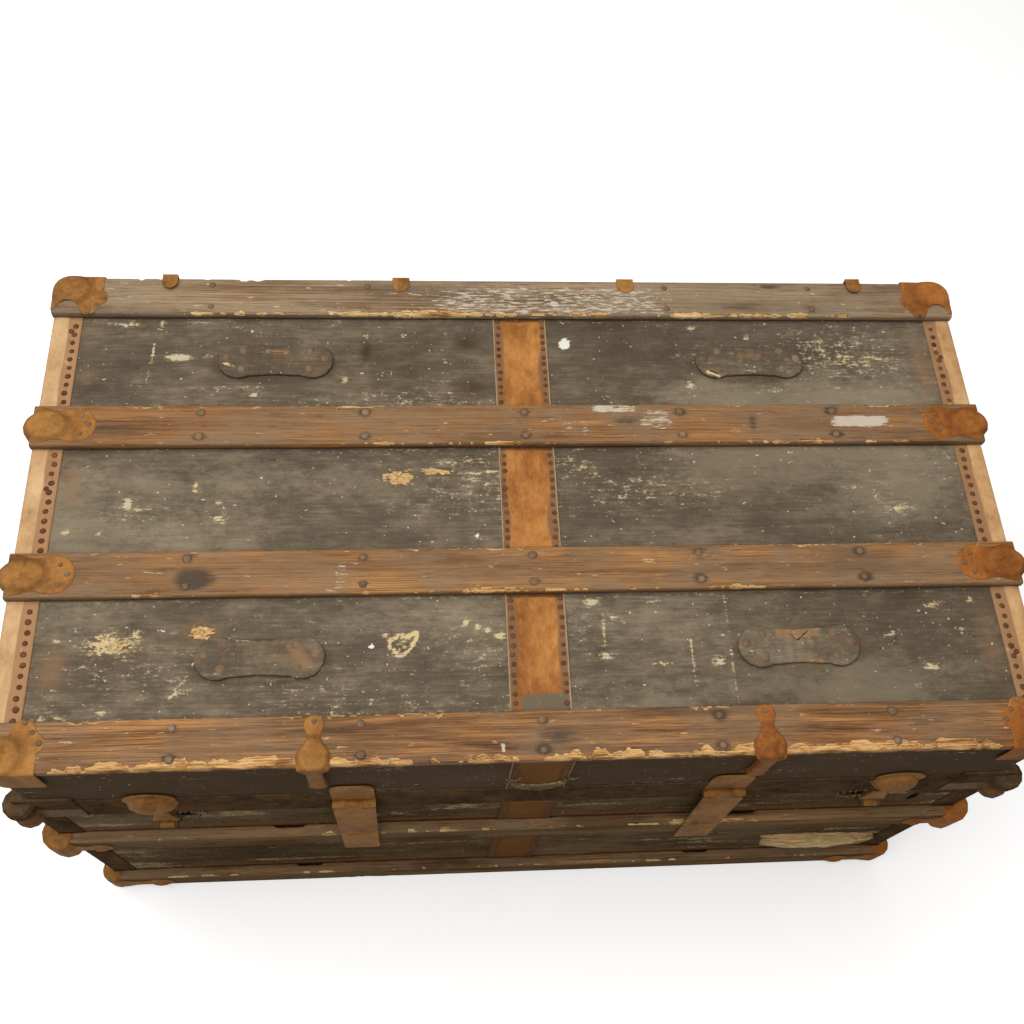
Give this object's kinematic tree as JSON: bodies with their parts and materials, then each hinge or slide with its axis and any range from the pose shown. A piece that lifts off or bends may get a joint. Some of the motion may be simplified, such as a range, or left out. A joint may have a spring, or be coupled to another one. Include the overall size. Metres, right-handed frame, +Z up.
{
  "type": "steamer trunk",
  "caption": "Flat-topped slatted steamer trunk in painted canvas with rusty iron clamps, hinged lid, hanging hasps, drawbolts and leather end handles.",
  "frame": {"origin": "middle of the trunk's footprint on the floor", "axes": "+Z up, +X along the trunk's length to its right end, -Y towards its front with the hasps"},
  "size_m": [0.9646, 0.5364, 0.5087],
  "materials": {
    "bare_board": "bare softwood boards",
    "canvas": "painted canvas, scuffed and streaked",
    "slat_wood": "worn varnished hardwood with chipped edges",
    "rusty_iron": "rusty pressed sheet iron",
    "leather": "dry tan leather",
    "band_fibre": "orange-tan painted strip",
    "handle_leather": "dark worn leather"
  },
  "bodies": {
    "body": {"bottom_board": "bare_board", "body_frame": "bare_board", "body_canvas": "canvas", "body_binding": "rusty_iron", "rim_corner_front_left": "rusty_iron", "rim_corner_front_right": "rusty_iron", "rim_corner_back_left": "rusty_iron", "rim_corner_back_right": "rusty_iron", "mid_slat_front": "slat_wood", "mid_slat_back": "slat_wood", "mid_slat_left": "slat_wood", "mid_slat_right": "slat_wood", "bottom_slat_front": "slat_wood", "bottom_slat_back": "slat_wood", "bottom_slat_left": "slat_wood", "bottom_slat_right": "slat_wood", "mid_clamp_front_left": "rusty_iron", "mid_clamp_front_right": "rusty_iron", "mid_clamp_back_left": "rusty_iron", "mid_clamp_back_right": "rusty_iron", "bottom_clamp_front_left": "rusty_iron", "bottom_clamp_front_right": "rusty_iron", "bottom_clamp_back_left": "rusty_iron", "bottom_clamp_back_right": "rusty_iron", "centre_band_body": "band_fibre", "hinge_leaf_left": "rusty_iron", "hinge_leaf_right": "rusty_iron", "handle_left": "handle_leather", "handle_right": "handle_leather"},
    "lid": {"lid_top_board": "bare_board", "lid_frame": "bare_board", "lid_canvas": "canvas", "lid_binding": "rusty_iron", "lid_slat_rear": "slat_wood", "lid_slat_second": "slat_wood", "lid_slat_third": "slat_wood", "lid_slat_front": "slat_wood", "slat_clamp_second_left": "rusty_iron", "slat_clamp_second_right": "rusty_iron", "slat_clamp_third_left": "rusty_iron", "slat_clamp_third_right": "rusty_iron", "corner_cap_front_left": "rusty_iron", "corner_cap_front_right": "rusty_iron", "corner_cap_back_left": "rusty_iron", "corner_cap_back_right": "rusty_iron", "edge_clamp_left": "rusty_iron", "edge_clamp_right": "rusty_iron", "end_binding_left": "leather", "end_binding_right": "leather", "centre_band_lid": "band_fibre", "hinge_strap_left": "rusty_iron", "hinge_strap_right": "rusty_iron", "hasp_leaf_left": "rusty_iron", "hasp_leaf_right": "rusty_iron", "drawbolt_catch_left": "rusty_iron", "drawbolt_catch_right": "rusty_iron"},
    "hasp_left": {"hasp_strap_left": "rusty_iron"},
    "hasp_right": {"hasp_strap_right": "rusty_iron"},
    "drawbolt_left": {"drawbolt_lever_left": "rusty_iron"},
    "drawbolt_right": {"drawbolt_lever_right": "rusty_iron"}
  },
  "joints": [
    {"name": "lid_hinge", "type": "hinge", "parent": "body", "child": "lid", "pos_m": [0, 0.2566, 0.37515], "axis": [-1, 0, 0], "range_deg": [0, 100]},
    {"name": "hasp_left_hinge", "type": "hinge", "parent": "lid", "child": "hasp_left", "pos_m": [-0.163, -0.2554, 0.379], "axis": [-1, 0, 0], "range_deg": [0, 150]},
    {"name": "hasp_right_hinge", "type": "hinge", "parent": "lid", "child": "hasp_right", "pos_m": [0.186, -0.2554, 0.379], "axis": [-1, 0, 0], "range_deg": [0, 150]},
    {"name": "drawbolt_left_hinge", "type": "hinge", "parent": "body", "child": "drawbolt_left", "pos_m": [-0.344, -0.2562, 0.318], "axis": [1, 0, 0], "range_deg": [0, 120]},
    {"name": "drawbolt_right_hinge", "type": "hinge", "parent": "body", "child": "drawbolt_right", "pos_m": [0.35, -0.2562, 0.318], "axis": [1, 0, 0], "range_deg": [0, 120]}
  ]
}
